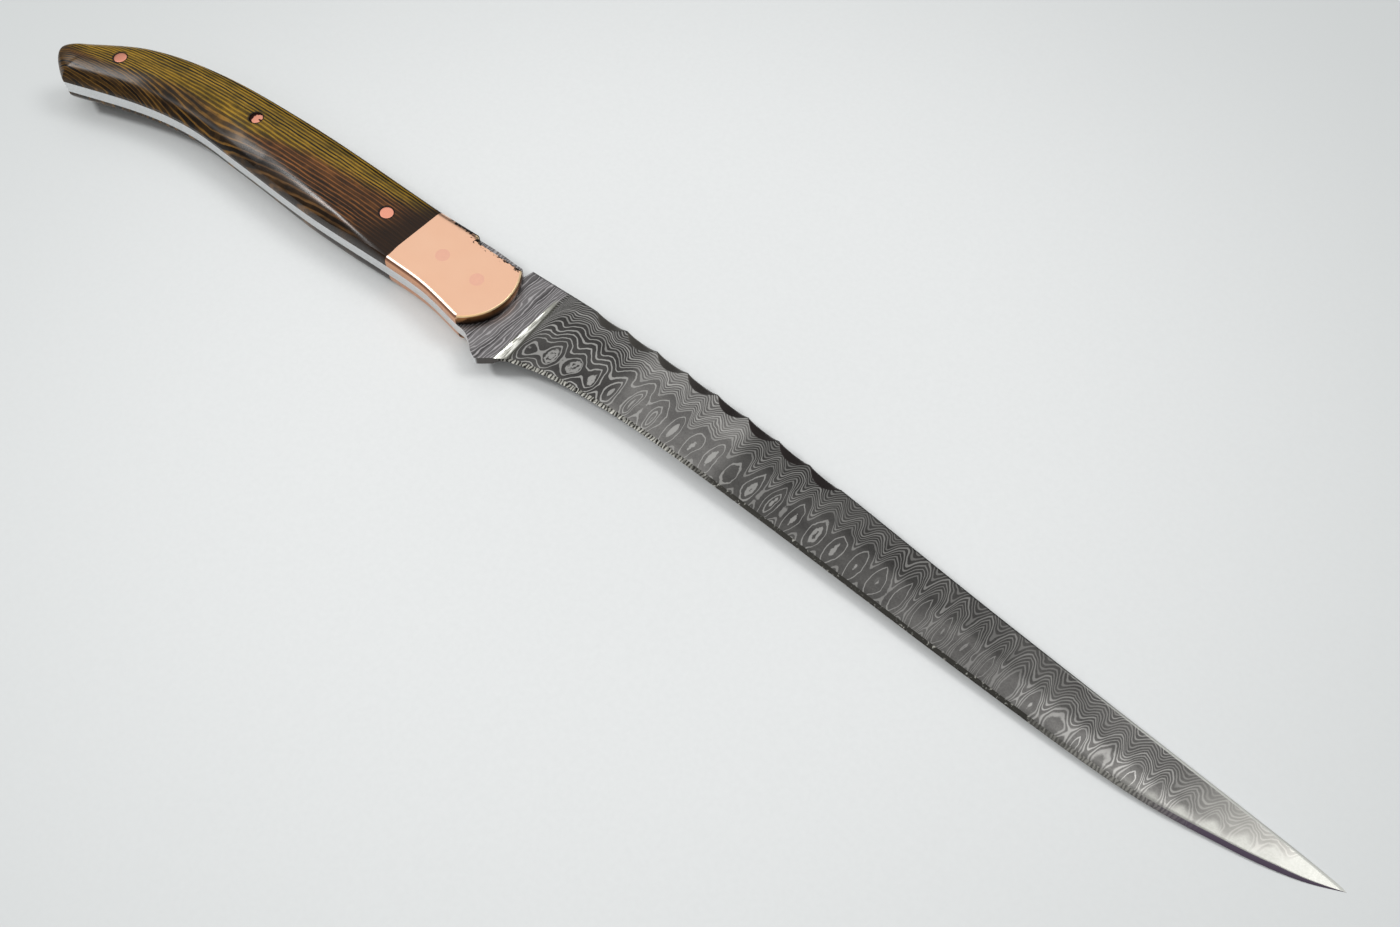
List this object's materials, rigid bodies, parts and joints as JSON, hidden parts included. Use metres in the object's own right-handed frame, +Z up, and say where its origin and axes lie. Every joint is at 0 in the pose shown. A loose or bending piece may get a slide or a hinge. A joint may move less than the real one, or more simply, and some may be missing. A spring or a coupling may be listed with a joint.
{
  "type": "ham knife",
  "caption": "Full-tang slicing knife with a narrow pattern-welded blade, filed spine, copper bolsters and a curved wood handle held by copper pins.",
  "frame": {"origin": "Middle of the length and width, at the level of the lowest face, with the knife lying on its left side.", "axes": "+X from the butt to the tip, +Y from the edge to the spine, +Z up, out of the knife's right side."},
  "size_m": [0.349, 0.0414, 0.0145],
  "materials": {
    "pattern_steel": "etched layered steel, dark grey with light wavy bands",
    "bolster_copper": "polished copper",
    "dark_wood": "lacquered dark open-grained wood with fine straight golden lines",
    "pin_copper": "satin copper, flush with the plate it holds"
  },
  "bodies": {
    "root": {"blade": "pattern_steel", "right_bolster": "bolster_copper", "left_bolster": "bolster_copper", "right_scale": "dark_wood", "left_scale": "dark_wood", "front_scale_pin": "pin_copper", "middle_scale_pin": "pin_copper", "rear_scale_pin": "pin_copper", "rear_bolster_pin": "pin_copper", "front_bolster_pin": "pin_copper"}
  },
  "joints": []
}
